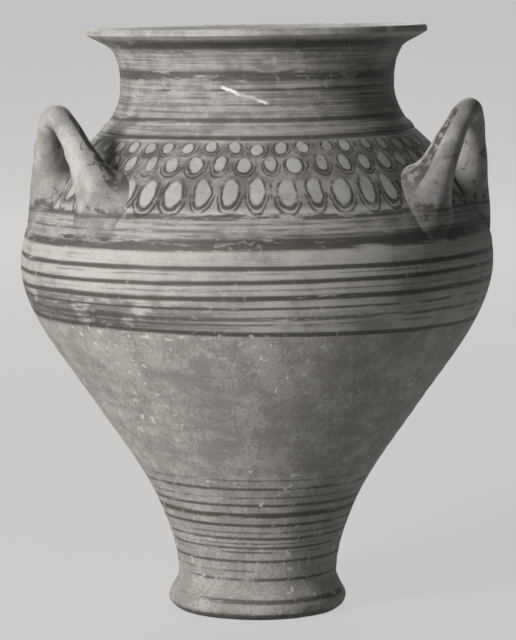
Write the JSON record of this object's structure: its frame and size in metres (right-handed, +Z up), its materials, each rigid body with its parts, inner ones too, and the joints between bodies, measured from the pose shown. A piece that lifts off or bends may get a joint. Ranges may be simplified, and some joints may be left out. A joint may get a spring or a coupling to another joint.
{
  "type": "piriform jar",
  "caption": "Large pear-shaped clay storage jar on a narrow foot, with a wide neck, an everted lip and upright loop handles on the shoulder.",
  "frame": {"origin": "centre of the circle that the foot stands on", "axes": "+Z up along the jar's axis; the decorated front, between the left and right handles, faces -Y; +X to the viewer's right"},
  "size_m": [0.365, 0.365, 0.45],
  "materials": {
    "unpainted_clay": "worn fired clay with brown painted bands",
    "slipped_clay": "smoothed slip with brown painted bands and scale pattern",
    "handle_clay": "hand-smoothed slip with worn paint"
  },
  "bodies": {
    "root": {"foot_ring": "unpainted_clay", "lower_body": "unpainted_clay", "upper_body": "slipped_clay", "neck_ridge": "slipped_clay", "neck": "slipped_clay", "handle_left": "handle_clay", "handle_right": "handle_clay", "handle_back": "handle_clay"}
  },
  "joints": []
}
